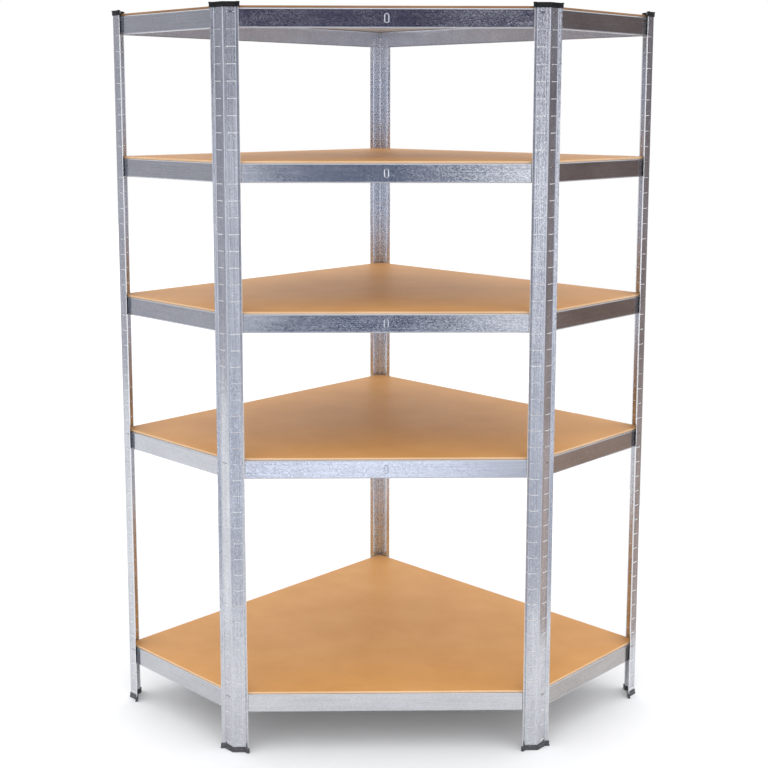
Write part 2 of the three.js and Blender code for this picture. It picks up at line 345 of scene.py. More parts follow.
def post_section(angle, hooked_rows):
    """A section of post: its plan line drawn up in rows. Below each slit the sheet is turned outwards
    into a ledge, whose reach follows a half sine along the slit, raised to a power below 1 that fills
    it out towards its ends. A slit that holds a hook is left flat. The last two groups of faces are
    the ledges and the outsides of the folds."""
    middle_line = shifted_line(post_face(angle), -POST_SHEET / 2)
    radius = BEND_RADIUS + POST_SHEET / 2
    from_bend = POST_SHEET / 2 / math.tan(angle / 2)
    marks = SLOT_INSET + SLOT_LENGTH * SLIT_SHARES - from_bend
    flat = np.linalg.norm(middle_line[3] - middle_line[2])
    lip = np.linalg.norm(middle_line[1] - middle_line[0])
    by_lip = radius * math.tan(LIP_FLARE / 2) + FOLD_MARGIN
    by_bend = radius / math.tan(angle / 2) + FOLD_MARGIN
    right_marks = np.concatenate([[by_bend], marks, [flat - by_lip]])
    left_marks = flat - right_marks[::-1]
    all_marks = [[lip - by_lip], left_marks, right_marks, [by_lip]]
    plan, normal = folded_line(middle_line, [radius] * 3, all_marks, FOLD_STEPS)
    run = np.abs(plan[:, 0]) * math.sin(angle / 2) + plan[:, 1] * math.cos(angle / 2)
    share = np.clip((run - SLOT_INSET) / SLOT_LENGTH, 0, 1)
    arch = np.sin(math.pi * share).clip(0) ** LEDGE_FULLNESS
    opening = np.interp(share, SLIT_SHARES, SLIT_OPENINGS / 2)
    level = np.ones_like(run)
    rows_of_slot = np.array([
        -SLOT_REACH * level,
        -opening - LEDGE_DROP - LEDGE_ROOT,
        -opening - LEDGE_DROP,
        -opening,
        opening,
        SLOT_UPPER_ROW * level,
        SLOT_REACH * level,
    ])
    push_of_slot = np.outer(PUSH_OF_ROWS, arch) * LEDGE_PUSH
    slot_index = np.arange(SLOTS_PER_SECTION)
    centres = (slot_index + 0.5) * SLOT_PITCH
    turned = ~np.isin(slot_index, hooked_rows)
    heights = (centres[:, None, None] + rows_of_slot).reshape(-1, len(run))
    push = (turned[:, None, None] * push_of_slot).reshape(-1, len(run))
    heights = np.concatenate([0 * level[None], heights, SECTION_LENGTH * level[None]])
    push = np.concatenate([0 * level[None], push, 0 * level[None]])
    normals = np.concatenate([normal, np.zeros((len(run), 1))], axis=1)
    normals = np.broadcast_to(normals, (len(heights), len(run), 3))
    plans = np.broadcast_to(plan, (len(heights), len(run), 2))
    middle = np.concatenate([plans, heights[..., None]], axis=2) + normals * push[..., None]
    in_slit = (share[:-1] + share[1:]) / 2
    cut_columns = (in_slit > 0) & (in_slit < 1)
    strip_index = np.arange(len(heights) - 1)
    strip_of_slot = strip_index % len(rows_of_slot)
    inside = (strip_index > 0) & (strip_index < len(heights) - 2)
    metal = ~np.outer((strip_of_slot == SLIT_STRIP) & inside, cut_columns)
    points, faces = turned_out(sheet_shell(middle, normals, metal, POST_SHEET))
    # The ledges and the strips along the folds take painted highlights.
    ledge = np.outer((strip_of_slot == LEDGE_STRIP) & inside, cut_columns)[metal]
    fold = np.broadcast_to(near_folds(normal), metal.shape)[metal]
    return points, [faces[0][~ledge & ~fold], *faces[1:], faces[0][ledge], faces[0][fold]]


def splice_angle(angle):
    """The angle inside a post, a bent strip drawn up, with four pegs in the slits beside the joint. A
    peg is a flat six-sided section carried along the slit, thinner at its two ends. A corner of the
    section gives how far inwards it lies, and its height as a share of the hooks' sheet."""
    legs = np.array([heading(-angle / 2) * SPLICE_LEG, [0, 0], heading(angle / 2) * SPLICE_LEG])
    middle_line = shifted_line(legs, -WEB_OFFSET - SPLICE_SHEET / 2)
    radii = [BEND_RADIUS + SPLICE_SHEET / 2]
    plan, normal = folded_line(middle_line, radii, SPLICE_MARKS, FINE_FOLD_STEPS)
    half = SPLICE_LENGTH / 2
    middle = np.concatenate([np.broadcast_to(plan, (2, len(plan), 2)),
                             np.broadcast_to([[[-half]], [[half]]], (2, len(plan), 1))], axis=2)
    normals = np.broadcast_to(np.concatenate([normal, np.zeros((len(plan), 1))], axis=1), middle.shape)
    shells = [sheet_shell(middle, normals, np.ones((1, len(plan) - 1), bool), SPLICE_SHEET)]
    root, eased = WEB_OFFSET + SPLICE_SHEET / 2, PEG_REACH - PEG_EASE
    corners = np.array([
        [root, -PEG_ROOT_HALF],
        [-eased, -PEG_ROOT_HALF],
        [-PEG_REACH, -PEG_TIP_HALF],
        [-PEG_REACH, PEG_TIP_HALF],
        [-eased, PEG_ROOT_HALF],
        [root, PEG_ROOT_HALF],
    ])
    stations = SLOT_INSET + SLOT_LENGTH * PEG_SHARES
    for side in (-1, 1):
        along = heading(side * angle / 2)
        inward = -side * right_of(along)
        for level in (-1, 1):
            row = level * (SLOT_PITCH + GAP) / 2
            plan_points = stations[:, None, None] * along + corners[None, :, :1] * inward
            up = row + corners[None, :, 1:] * HOOK_SHEET * PEG_SLIMNESS[:, None, None]
            shells.append(loft_shell(np.concatenate([plan_points, up], axis=2)))
    return joined_shells([turned_out(shell) for shell in shells])


def beam_hook(start):
    """A hook: an L section drawn along the beam, a tongue through the slit and a nib that hangs in
    front of it. The nib's drop follows a half sine, so it ends in a blunt tongue, and the section is
    half as high at its two ends."""
    low, high = -BEAM_TOP_ABOVE_SLOT - HOOK_SHEET / 2, -BEAM_TOP_ABOVE_SLOT + HOOK_SHEET / 2
    back, front, root = -GAP, -GAP - HOOK_SHEET, WEB_OFFSET + BEAM_SHEET / 2
    drop = low - NIB_ROOT - HOOK_DROP * np.sin(math.pi * HOOK_SHARES)
    from_tip = np.minimum(HOOK_SHARES, 1 - HOOK_SHARES)
    slimness = np.minimum(1, HOOK_TIP_SLIMNESS + HOOK_TIP_TAPER * from_tip)
    crown = high - (1 - slimness) * HOOK_SHEET / 2
    flat = np.ones_like(HOOK_SHARES)
    section = [
        (root, low * flat),
        (root, crown),
        (front + HOOK_EASE, crown),
        (front, crown - HOOK_EASE),
        (front, drop + NIB_EASE),
        (front + NIB_EASE, drop),
        (back, drop),
        (back, low * flat),
    ]
    along = start + HOOK_LENGTH * HOOK_SHARES
    rings = np.stack([np.stack([along, inward * flat, up], axis=-1) for inward, up in section], axis=1)
    return turned_out(loft_shell(rings))


def beam(length, start_angle, end_angle, pressed, notches):
    """A folded channel: its section drawn along the beam between the mitre planes of its two corners.
    At the ends that notches names, only a tongue of the web runs on into the corner, and below it the
    channel stops beside the post. Where the beam is pressed, the web's middle stands out along a line
    with round ends: the push is a half cosine of the distance from that line. A hook is joined to each
    end. The first groups of faces are the channel's outside, its inside and its cut edges, and the last
    group is the outsides of its folds."""
    start_slope, end_slope = 1 / math.tan(start_angle / 2), 1 / math.tan(end_angle / 2)
    face = np.array([
        [WEB_OFFSET + BEAM_TOP_FLANGE, 0],
        [WEB_OFFSET, 0],
        [WEB_OFFSET, -BEAM_HEIGHT],
        [WEB_OFFSET + BEAM_BOTTOM_FLANGE, -BEAM_HEIGHT],
    ])
    radius = BEAM_FOLD_RADIUS - BEAM_SHEET / 2
    half_height, half_width = PRESSING_HEIGHT / 2, PRESSING_WIDTH / 2
    middle_z = BEAM_HEIGHT / 2
    by_fold = radius + BEAM_FOLD_MARGIN
    web_height = BEAM_HEIGHT - BEAM_SHEET
    web_rows, centre = [PLAIN_WEB_ROW], np.array([0.0])
    if pressed:
        reach_up, reach_along = half_height + PRESSING_MARGIN, half_width + PRESSING_MARGIN
        web_rows = web_height / 2 + np.linspace(-reach_up, reach_up, PRESSING_ROWS)
        centre = np.linspace(-reach_along, reach_along, PRESSING_COLUMNS)
    web = np.unique([by_fold, BEAM_TONGUE_HEIGHT, *web_rows, web_height - by_fold])
    marks = [[BEAM_TOP_FLANGE - BEAM_SHEET / 2 - by_fold], web, [by_fold]]
    middle_line = shifted_line(face, -BEAM_SHEET / 2)
    section, normal = folded_line(middle_line, [radius] * 2, marks, FINE_FOLD_STEPS)
    along = np.concatenate([
        [0, BEAM_END_STATION, BEAM_NOTCH - BEAM_END_SETBACK],
        np.arange(BEAM_FIRST_STATION, length / 2 - BEAM_MIDDLE_CLEAR, BEAM_STATION_STEP),
    ])
    inner = length - 2 * BEAM_END_SETBACK
    stations = np.concatenate([along, inner / 2 + centre, inner - along[::-1]]) / inner
    first = BEAM_END_SETBACK + section[:, 0] * start_slope
    last = length - BEAM_END_SETBACK - section[:, 0] * end_slope
    run = first + (last - first) * stations[:, None]
    push = np.zeros_like(run)
    if pressed:
        x = run - length / 2
        z = np.clip(np.abs(section[:, 1] + middle_z) - (half_height - half_width), 0, None)
        from_line = np.hypot(x, z) - (half_width - PRESSING_RIB)
        on_web = normal[:, 0] < -0.99
        push = PRESSING_DEPTH * np.cos(math.pi / 2 * np.clip(from_line / PRESSING_RIB, -1, 1)) * on_web
    outwards = np.broadcast_to(section[:, 0], run.shape) + normal[:, 0] * push
    middle = np.stack([run, outwards, np.broadcast_to(section[:, 1], run.shape)], axis=-1)
    normals = np.stack([0 * normal[:, 0], normal[:, 0], normal[:, 1]], axis=-1)
    normals = np.broadcast_to(normals, middle.shape)
    metal = np.ones((len(stations) - 1, len(section) - 1), bool)
    below_tongue = (section[1:, 1] + section[:-1, 1]) / 2 < -BEAM_TONGUE_HEIGHT
    for end in notches:
        metal[end, below_tongue] = False
    points, faces = turned_out(sheet_shell(middle, normals, metal, BEAM_SHEET))
    # The strips along the folds take a painted highlight.
    fold = np.broadcast_to(near_folds(normal), metal.shape)[metal]
    hook_start = SLOT_INSET + (SLOT_LENGTH - HOOK_LENGTH) / 2
    hooks = [beam_hook(hook_start), beam_hook(length - hook_start - HOOK_LENGTH)]
    all_points, all_faces = joined_shells([(points, [faces[0][~fold], *faces[1:]]), *hooks])
    return all_points, [*all_faces, faces[0][fold]]


def end_moulding(angle):
    """A cap or foot, drawn as a foot: rings that follow the post's plan line out and back. They go up
    the outside past the brim, round the rim and down the groove that the post stands in. Each level
    gives how far its ring stands off the post outwards and inwards, and its height."""
    skirt = GAP + MOULDING_WALL
    brim = skirt + MOULDING_BRIM
    levels = [
        (brim - 0.5, skirt - 0.5, 0),
        (brim - 0.1, skirt - 0.1, 0.3),
        (brim, skirt, 0.8),
        (brim, skirt, MOULDING_BRIM_HEIGHT - 0.3),
        (brim - 0.4, skirt, MOULDING_BRIM_HEIGHT),
        (skirt, skirt, MOULDING_BRIM_HEIGHT + 0.3),
        (skirt - 0.15, skirt - 0.15, MOULDING_HEIGHT - 0.6),
        (skirt - 0.45, skirt - 0.45, MOULDING_HEIGHT),
        (GAP + 0.3, GAP + 0.3, MOULDING_HEIGHT),
        (GAP, GAP, MOULDING_HEIGHT - 0.4),
        (GAP, GAP, MOULDING_FLOOR),
    ]
    face = post_face(angle)
    no_marks = [[]] * 4
    rings = []
    for outwards, inwards, height in levels:
        lip_outer = max(BEND_RADIUS - outwards, EDGE_RADIUS)
        lip_inner = BEND_RADIUS + POST_SHEET + inwards
        bend_outer = BEND_RADIUS + POST_SHEET + outwards
        bend_inner = max(BEND_RADIUS - inwards, EDGE_RADIUS)
        outer_line = shifted_line(face, outwards, outwards)
        inner_line = shifted_line(face, -POST_SHEET - inwards, outwards)
        outer_radii = [lip_outer, bend_outer, lip_outer]
        inner_radii = [lip_inner, bend_inner, lip_inner]
        outer, _ = folded_line(outer_line, outer_radii, no_marks, FOLD_STEPS)
        inner, _ = folded_line(inner_line, inner_radii, no_marks, FOLD_STEPS)
        ring = np.concatenate([outer, inner[::-1]])
        rings.append(np.concatenate([ring, np.full((len(ring), 1), height)], axis=1))
    return turned_out(loft_shell(np.array(rings), strip_ends=True))


def upside_down(shell):
    """A moulding turned over about the Y axis, to serve as a cap."""
    points, faces = shell
    return points * [-1, 1, -1], faces


# Plan of the unit

wall_reach = WALL_LENGTH / math.sqrt(2)
front_half = (WALL_LENGTH - SIDE_LENGTH) / math.sqrt(2)
front_depth = (WALL_LENGTH + SIDE_LENGTH) / math.sqrt(2)
front_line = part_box("board_1")[0][1] / MM - BOARD_INSET
rear_line = front_line + front_depth
CORNERS = [
    ("rear", (0, rear_line), RIGHT_ANGLE),
    ("left_wall", (-wall_reach, rear_line - wall_reach), RIGHT_ANGLE),
    ("left_front", (-front_half, front_line), BLUNT_ANGLE),
    ("right_front", (front_half, front_line), BLUNT_ANGLE),
    ("right_wall", (wall_reach, rear_line - wall_reach), RIGHT_ANGLE),
]
SIDES = ["left_wall", "left_side", "front", "right_side", "right_wall"]


def row_height(row):
    """The height of a slot row above the floor."""
    start = UPPER_FOOT if row >= SLOTS_PER_SECTION else POST_FOOT
    return start + (row % SLOTS_PER_SECTION + 0.5) * SLOT_PITCH


def board_rings():
    """The board's outline, the plan drawn in by its clearance with rounded corners, as rings that ease
    its upper and lower edge. Each level gives how far its ring is drawn in, and its height."""
    spots = np.array([spot for _, spot, _ in CORNERS])
    levels = [
        (BOARD_INSET + BOARD_EASE, 0),
        (BOARD_INSET + BOARD_EASE_STEP, BOARD_EASE_STEP),
        (BOARD_INSET, BOARD_EASE),
        (BOARD_INSET, BOARD_SHEET - BOARD_EASE),
        (BOARD_INSET + BOARD_EASE_STEP, BOARD_SHEET - BOARD_EASE_STEP),
        (BOARD_INSET + BOARD_EASE, BOARD_SHEET),
    ]
    middle = (spots[0] + spots[-1]) / 2
    loop = np.concatenate([[middle], spots, [middle]])
    no_marks = [[]] * (len(loop) - 1)
    rings = []
    for inset, height in levels:
        line = shifted_line(loop, -inset)
        ring, _ = folded_line(line, [BOARD_CORNER] * len(spots), no_marks, BOARD_CORNER_STEPS)
        ring = ring[:-1]
        rings.append(np.concatenate([ring, np.full((len(ring), 1), height)], axis=1))
    return np.array(rings)


# Finishes. Sizes of their patterns are in millimetres, and those of the real ones, but for two: the speckle
# of the painted highlights has no real size, and the grain of moulded plastic is finer in reality; both are
# drawn as coarse as they need to show in a close view.

CRYSTAL = (3.2, 2, 2)
STREAK = (260, 2.5, 2.5)
CLOUD = (120, 40, 40)
# The speckle of the painted highlights on folds, ledges and cut edges.
HIGHLIGHT_SPECKLE = 1.5
BLOTCH = 130
PLASTIC_GRAIN = 0.8
DUST_PATCH = 9
FINE_BUMP = 0.2


def linear(hex_colour):
    """An sRGB hex colour as linear RGBA."""
    srgb = np.array([int(hex_colour[i:i + 2], 16) for i in (0, 2, 4)]) / 255
    values = np.where(srgb <= 0.04045, srgb / 12.92, ((srgb + 0.055) / 1.055) ** 2.4)
    return (*values.tolist(), 1)


def add_node(tree, kind, settings=None, inputs=None):
    """Adds one node with its settings, and its inputs as numbers or as sockets to link from."""
    made = tree.nodes.new(kind)
    for name, value in (settings or {}).items():
        setattr(made, name, value)
    for name, value in (inputs or {}).items():
        if isinstance(value, bpy.types.NodeSocket):
            tree.links.new(value, made.inputs[name])
        else:
            made.inputs[name].default_value = value
    return made


def new_finish(name):
    """An empty material with its output and its surface shader."""
    finish = bpy.data.materials.new(name)
    finish.use_nodes = True
    tree = finish.node_tree
    tree.nodes.clear()
    shader = add_node(tree, "ShaderNodeBsdfPrincipled")
    add_node(tree, "ShaderNodeOutputMaterial", inputs={"Surface": shader.outputs[0]})
    return finish, tree, shader


def set_ramp(ramp_node, stops):
    """Sets a colour ramp's stops from pairs of place and hex colour."""
    stops_of = ramp_node.color_ramp.elements
    while len(stops_of) < len(stops):
        stops_of.new(0.5)
    for stop, (place, colour) in zip(stops_of, stops):
        stop.position = place
        stop.color = linear(colour)


def pattern(tree, kind, place, size, inputs=None):
    """A pattern drawn at the size of its cells, in millimetres: one number, or one for each axis. The
    place is multiplied by one over the size."""
    scale = (1 / (np.broadcast_to(size, 3) * MM)).tolist()
    scaled = add_node(tree, "ShaderNodeMapping", inputs={"Vector": place, "Scale": scale})
    return add_node(tree, kind, inputs={"Vector": scaled.outputs[0], "Scale": 1, **(inputs or {})})


def weighted_sum(tree, parts):
    """Adds up patterns, each multiplied by its share."""
    total = 0.0
    for part, share in reversed(parts):
        total = add_node(tree, "ShaderNodeMath", {"operation": "MULTIPLY_ADD"},
                         {0: part, 1: share, 2: total}).outputs[0]
    return total


def zinc_sheet(name, stops, rolling_turn, roughness, lean, ripple):
    """Hot-dip galvanised strip, folded after coating: bright zinc with a fine spangle, its crystals a few
    millimetres long and drawn out along the rolling direction. Each crystal leans a little its own
    way, so the spangle flashes where the room goes from light to dark and fades where it is even.
    Rolling streaks run along the strip and ripple it, and broad soft clouds dull it here and there."""
    finish, tree, shader = new_finish(name)
    place = add_node(tree, "ShaderNodeTexCoord").outputs["Object"]
    rolled = add_node(tree, "ShaderNodeMapping", inputs={"Vector": place, "Rotation": rolling_turn})
    strip = rolled.outputs[0]
    crystals = pattern(tree, "ShaderNodeTexVoronoi", strip, CRYSTAL)
    streaks = pattern(tree, "ShaderNodeTexNoise", strip, STREAK, {"Detail": 3, "Roughness": 0.6})
    clouds = pattern(tree, "ShaderNodeTexNoise", strip, CLOUD, {"Detail": 2, "Roughness": 0.5})
    crystal = add_node(tree, "ShaderNodeSeparateColor", inputs={0: crystals.outputs["Color"]})
    streak, cloud = streaks.outputs[0], clouds.outputs[0]
    tone = weighted_sum(tree, [(crystal.outputs[0], 0.2), (streak, 0.5), (cloud, 0.3)])
    colour = add_node(tree, "ShaderNodeValToRGB", inputs={0: tone})
    set_ramp(colour, stops)
    dullness = weighted_sum(tree, [(crystal.outputs[1], 0.4), (cloud, 0.6)])
    rough = add_node(tree, "ShaderNodeMapRange", inputs={
        "Value": dullness, "From Min": 0.2, "From Max": 0.8,
        "To Min": roughness - 0.05, "To Max": roughness + 0.06})
    facing = add_node(tree, "ShaderNodeNewGeometry").outputs["Normal"]
    leaning = add_node(tree, "ShaderNodeVectorMath", {"operation": "SUBTRACT"},
                       {0: crystals.outputs["Color"], 1: (0.5, 0.5, 0.5)})
    leant = add_node(tree, "ShaderNodeVectorMath", {"operation": "MULTIPLY_ADD"},
                     {0: leaning.outputs[0], 1: (lean, lean, lean), 2: facing})
    even = add_node(tree, "ShaderNodeVectorMath", {"operation": "NORMALIZE"}, {0: leant.outputs[0]})
    bump = add_node(tree, "ShaderNodeBump", inputs={
        "Height": streak, "Strength": 0.5, "Distance": ripple * MM, "Normal": even.outputs[0]})
    inputs = shader.inputs
    tree.links.new(colour.outputs[0], inputs["Base Color"])
    tree.links.new(rough.outputs[0], inputs["Roughness"])
    tree.links.new(bump.outputs[0], inputs["Normal"])
    inputs["Metallic"].default_value = 1
    return finish


def painted_highlight_zinc(name, stops, roughness):
    """A painted highlight for galvanised strip, laid on its folds, ledges and cut edges: a pale zinc tone
    broken up into fine speckle, so these narrow places read as thin white lines."""
    finish, tree, shader = new_finish(name)
    place = add_node(tree, "ShaderNodeTexCoord").outputs["Object"]
    highlight_speckle = pattern(tree, "ShaderNodeTexNoise", place, HIGHLIGHT_SPECKLE, {"Detail": 2})
    colour = add_node(tree, "ShaderNodeValToRGB", inputs={0: highlight_speckle.outputs[0]})
    set_ramp(colour, stops)
    rough = add_node(tree, "ShaderNodeMapRange", inputs={
        "Value": highlight_speckle.outputs[0], "To Min": roughness - 0.1, "To Max": roughness + 0.1})
    tree.links.new(colour.outputs[0], shader.inputs["Base Color"])
    tree.links.new(rough.outputs[0], shader.inputs["Roughness"])
    shader.inputs["Metallic"].default_value = 1
    return finish


def fibreboard(name, stops, roughness, pitch):
    """Uncoated medium-density fibreboard, pressed from brown wood fibre: a smooth tan skin with fine
    paler and darker fibre flecks a few millimetres long, and soft blotches a hand wide."""
    finish, tree, shader = new_finish(name)
    place = add_node(tree, "ShaderNodeTexCoord").outputs["Object"]
    flecks = pattern(tree, "ShaderNodeTexNoise", place, pitch, {"Detail": 4, "Roughness": 0.7}).outputs[0]
    blotches = pattern(tree, "ShaderNodeTexNoise", place, BLOTCH, {"Detail": 3, "Roughness": 0.55})
    mixed = add_node(tree, "ShaderNodeMix", inputs={"Factor": 0.55, "A": flecks, "B": blotches.outputs[0]})
    colour = add_node(tree, "ShaderNodeValToRGB", inputs={0: mixed.outputs["Result"]})
    set_ramp(colour, stops)
    bump = add_node(tree, "ShaderNodeBump", inputs={
        "Height": flecks, "Strength": 0.2, "Distance": FINE_BUMP * MM})
    inputs = shader.inputs
    tree.links.new(colour.outputs[0], inputs["Base Color"])
    tree.links.new(bump.outputs[0], inputs["Normal"])
    inputs["Roughness"].default_value = roughness
    inputs["Specular IOR Level"].default_value = 0.25
    return finish


def moulded_plastic(name, stops):
    """Injection-moulded polypropylene, coloured through: a fine moulded grain and a low gloss, with a
    little pale dust and scuffing in patches."""
    finish, tree, shader = new_finish(name)
    place = add_node(tree, "ShaderNodeTexCoord").outputs["Object"]
    grain = pattern(tree, "ShaderNodeTexNoise", place, PLASTIC_GRAIN, {"Detail": 2})
    dust = pattern(tree, "ShaderNodeTexNoise", place, DUST_PATCH, {"Detail": 5})
    colour = add_node(tree, "ShaderNodeValToRGB", inputs={0: dust.outputs[0]})
    set_ramp(colour, stops)
    bump = add_node(tree, "ShaderNodeBump", inputs={
        "Height": grain.outputs[0], "Strength": 0.25, "Distance": FINE_BUMP * MM})
    tree.links.new(colour.outputs[0], shader.inputs["Base Color"])
    tree.links.new(bump.outputs[0], shader.inputs["Normal"])
    shader.inputs["Roughness"].default_value = 0.4
    shader.inputs["Specular IOR Level"].default_value = 0.3
    return finish


def tones(low, middle, high):
    """Three tones at the usual places of a pattern's ramp."""
    return [(0.3, low), (0.5, middle), (0.7, high)]


# One galvanised zinc in several tones. The streaked and plain ones are its own; the others are lit and
# shaded
# copies of it: painted shade, greyer or browner, on the side and wall beams, and painted light on the rear
# post and inside the beams.
PAINTED_SHADE_BROWN_ZINC = [(0.35, "a19d9b"), (0.5, "aca8a6"), (0.65, "b6b3b1")]
PAINTED_SHADE_GREY_ZINC = [(0.35, "adafb4"), (0.5, "b7b9bd"), (0.65, "c2c4c8")]
PLAIN_ZINC = [(0.35, "b9bbc0"), (0.5, "c4c6ca"), (0.65, "cfd1d4")]
STREAKED_ZINC = [(0.35, "adafb5"), (0.5, "c0c2c7"), (0.65, "d2d4d8")]
PAINTED_LIGHT_ZINC = [(0.35, "c9cfd9"), (0.5, "dbe0e9"), (0.65, "ebeff6")]
UPRIGHT, LEVEL = (0, math.pi / 2, 0), (0, 0, 0)
ALONG_LEFT, ALONG_RIGHT = (0, 0, math.pi / 4), (0, 0, -math.pi / 4)

# Posts: a streaky grey that mirrors the room in soft uprights. The rear one is more even, and painted
# paler: painted light.
zinc_post = zinc_sheet("galvanised_post_strip", STREAKED_ZINC, UPRIGHT, 0.22, 0.035, 0.4)
zinc_rear_post_painted_light = zinc_sheet("galvanised_post_strip_painted_light", PAINTED_LIGHT_ZINC, UPRIGHT, 0.26, 0.02, 0.3)

# Beams: the front ones the glossiest; the side and wall ones a little rougher and painted darker, greyer or
# browner, as painted shade; and matt inside, painted pale as painted light.
zinc_front = zinc_sheet("galvanised_beam_strip_front", PLAIN_ZINC, LEVEL, 0.15, 0.025, 0.12)
zinc_left_painted_shade = zinc_sheet("galvanised_beam_strip_left_painted_shade", PAINTED_SHADE_GREY_ZINC, ALONG_LEFT, 0.18, 0.03, 0.1)
zinc_right_painted_shade = zinc_sheet("galvanised_beam_strip_right_painted_shade", PAINTED_SHADE_BROWN_ZINC, ALONG_RIGHT, 0.18, 0.03, 0.1)
# Painted light: the beams' insides are painted paler than their outsides.
zinc_inside_painted_light = zinc_sheet("galvanised_beam_strip_inside_painted_light", PAINTED_LIGHT_ZINC, LEVEL, 0.34, 0.01, 0.05)
BEAM_FINISH = [zinc_right_painted_shade, zinc_left_painted_shade, zinc_front, zinc_right_painted_shade, zinc_left_painted_shade]

# Painted highlights: nearly white on the posts' ledges and upright cut edges, and a soft bright line along
# each fold.
edge_and_ledge_highlight = painted_highlight_zinc("galvanised_edge_and_ledge_painted_highlight", [(0.3, "e6e8ea"), (0.7, "f8f9fa")], 0.65)
fold_highlight = painted_highlight_zinc("galvanised_fold_painted_highlight", [(0.3, "b7bac1"), (0.7, "d0d3d8")], 0.36)

# Boards: a tan face with a slight sheen, a pale grey-brown back, and matt sawn edges, lighter than the
# face. The top board's edges are painted dark, as painted shade.
board_face = fibreboard("pressed_fibreboard_face", tones("c68c4b", "cf9554", "d79e60"), 0.5, 3)
board_back = fibreboard("screened_fibreboard_back", tones("a5a19c", "b2afaa", "bfbcb8"), 0.8, 2)
board_edge = fibreboard("sawn_fibreboard_edge", tones("d5ad82", "dfba92", "e8c8a4"), 0.8, 1.5)
top_board_edge_painted_shade = fibreboard("sawn_fibreboard_edge_painted_shade", tones("8a6545", "987353", "a88565"), 0.8, 1.5)

# Caps and feet: black, the feet painted grey as painted light, for the paler, hazier light down by the
# floor.
cap_plastic = moulded_plastic("black_polypropylene", [(0.35, "08080a"), (0.6, "0c0c0e"), (0.8, "131316")])
foot_plastic_painted_light = moulded_plastic("black_polypropylene_painted_light",
                               [(0.3, "3a3a3d"), (0.55, "4c4c50"), (0.8, "66666a")])


# The pieces in place

# The slots that hold a hook, or a peg of the splice beside the joint.
lower_rows = [row for row in SHELF_ROWS if row < SLOTS_PER_SECTION] + [SLOTS_PER_SECTION - 1]
upper_rows = [row - SLOTS_PER_SECTION for row in SHELF_ROWS if row >= SLOTS_PER_SECTION] + [0]

# Of a post's groups of faces, the fifth and sixth are its upright cut edges, the next is the ledges and the
# last the folds. All of them carry painted highlights.
post_accents = [(edge_and_ledge_highlight, [4, 5, 6]), (fold_highlight, [-1])]

for index, (name, spot, angle) in enumerate(CORNERS):
    ahead = np.subtract(CORNERS[(index + 1) % len(CORNERS)][1], spot)
    back = np.subtract(CORNERS[index - 1][1], spot)
    middle = ahead / np.linalg.norm(ahead) + back / np.linalg.norm(back)
    turn = math.atan2(middle[1], middle[0]) - math.pi / 2
    zinc = zinc_rear_post_painted_light if name == "rear" else zinc_post
    lower = placed(post_section(angle, lower_rows), spot, POST_FOOT, turn)
    upper = placed(post_section(angle, upper_rows), spot, UPPER_FOOT, turn)
    splice = placed(splice_angle(angle), spot, UPPER_FOOT - GAP / 2, turn)
    add_piece(f"post_{name}_lower", lower, zinc, "frame", post_accents)
    add_piece(f"post_{name}_upper", upper, zinc, "frame", post_accents)
    add_piece(f"splice_{name}", splice, zinc, "frame")
    moulding = end_moulding(angle)
    foot = placed(moulding, spot, 0, turn)
    cap = placed(upside_down(moulding), spot, TOTAL_HEIGHT, turn)
    add_piece(f"foot_{name}", foot, foot_plastic_painted_light, "frame")
    add_piece(f"cap_{name}", cap, cap_plastic, "frame")

# The wall beams are notched at their rear ends.
NOTCHES = {"left_wall": [slice(0, 2)], "right_wall": [slice(-2, None)]}

# Of a beam's groups of faces, the second is its inside (painted light) and the last its folds (painted
# highlight).
beam_accents = [(zinc_inside_painted_light, [1]), (fold_highlight, [-1])]

for number, row in enumerate(SHELF_ROWS, start=1):
    beam_top = row_height(row) + BEAM_TOP_ABOVE_SLOT
    for index, (name, spot, angle) in enumerate(CORNERS):
        _, next_spot, next_angle = CORNERS[(index + 1) % len(CORNERS)]
        run = np.subtract(next_spot, spot)
        side = SIDES[index]
        shell = beam(np.linalg.norm(run), angle, next_angle, side == "front", NOTCHES.get(side, []))
        shell = placed(shell, spot, beam_top, math.atan2(run[1], run[0]))
        add_piece(f"beam_{number}_{side}", shell, BEAM_FINISH[index], "frame",
                  beam_accents)
    board = placed(turned_out(loft_shell(board_rings())), (0, 0), beam_top + GAP, 0)
    # The top board's edges take the painted shade.
    edge = top_board_edge_painted_shade if row == SHELF_ROWS[-1] else board_edge
    # A board's groups of faces are its sides, its underside and its upper face.
    board_accents = [(edge, [0]), (board_back, [1])]
    add_piece(f"board_{number}", board, board_face, f"shelf_{number}", board_accents)


# The room: a pale floor, a soft studio sky and the camera

# The floor, in metres. It ends not far in front of the unit and to its right, so the lower beams and
# posts mirror the room past its edges. The edges don't show, because both sides of them look white.
FLOOR_LEFT, FLOOR_RIGHT, FLOOR_FRONT, FLOOR_BACK = -4.5, 1.05, -1.4, 14
floor_mesh = bpy.data.meshes.new("floor")
floor_mesh.from_pydata([
    (FLOOR_LEFT, FLOOR_FRONT, 0),
    (FLOOR_RIGHT, FLOOR_FRONT, 0),
    (FLOOR_RIGHT, FLOOR_BACK, 0),
    (FLOOR_LEFT, FLOOR_BACK, 0),
], [], [(0, 1, 2, 3)])
floor = bpy.data.objects.new("floor", floor_mesh)
bpy.context.scene.collection.objects.link(floor)
# Matt white paint: it takes the unit's soft shadow and shows no reflection of it.
floor_paint, _, floor_shader = new_finish("matt_white_floor_paint")
floor_shader.inputs["Base Color"].default_value = linear("f0f1f3")
floor_shader.inputs["Roughness"].default_value = 0.9
floor_mesh.materials.append(floor_paint)

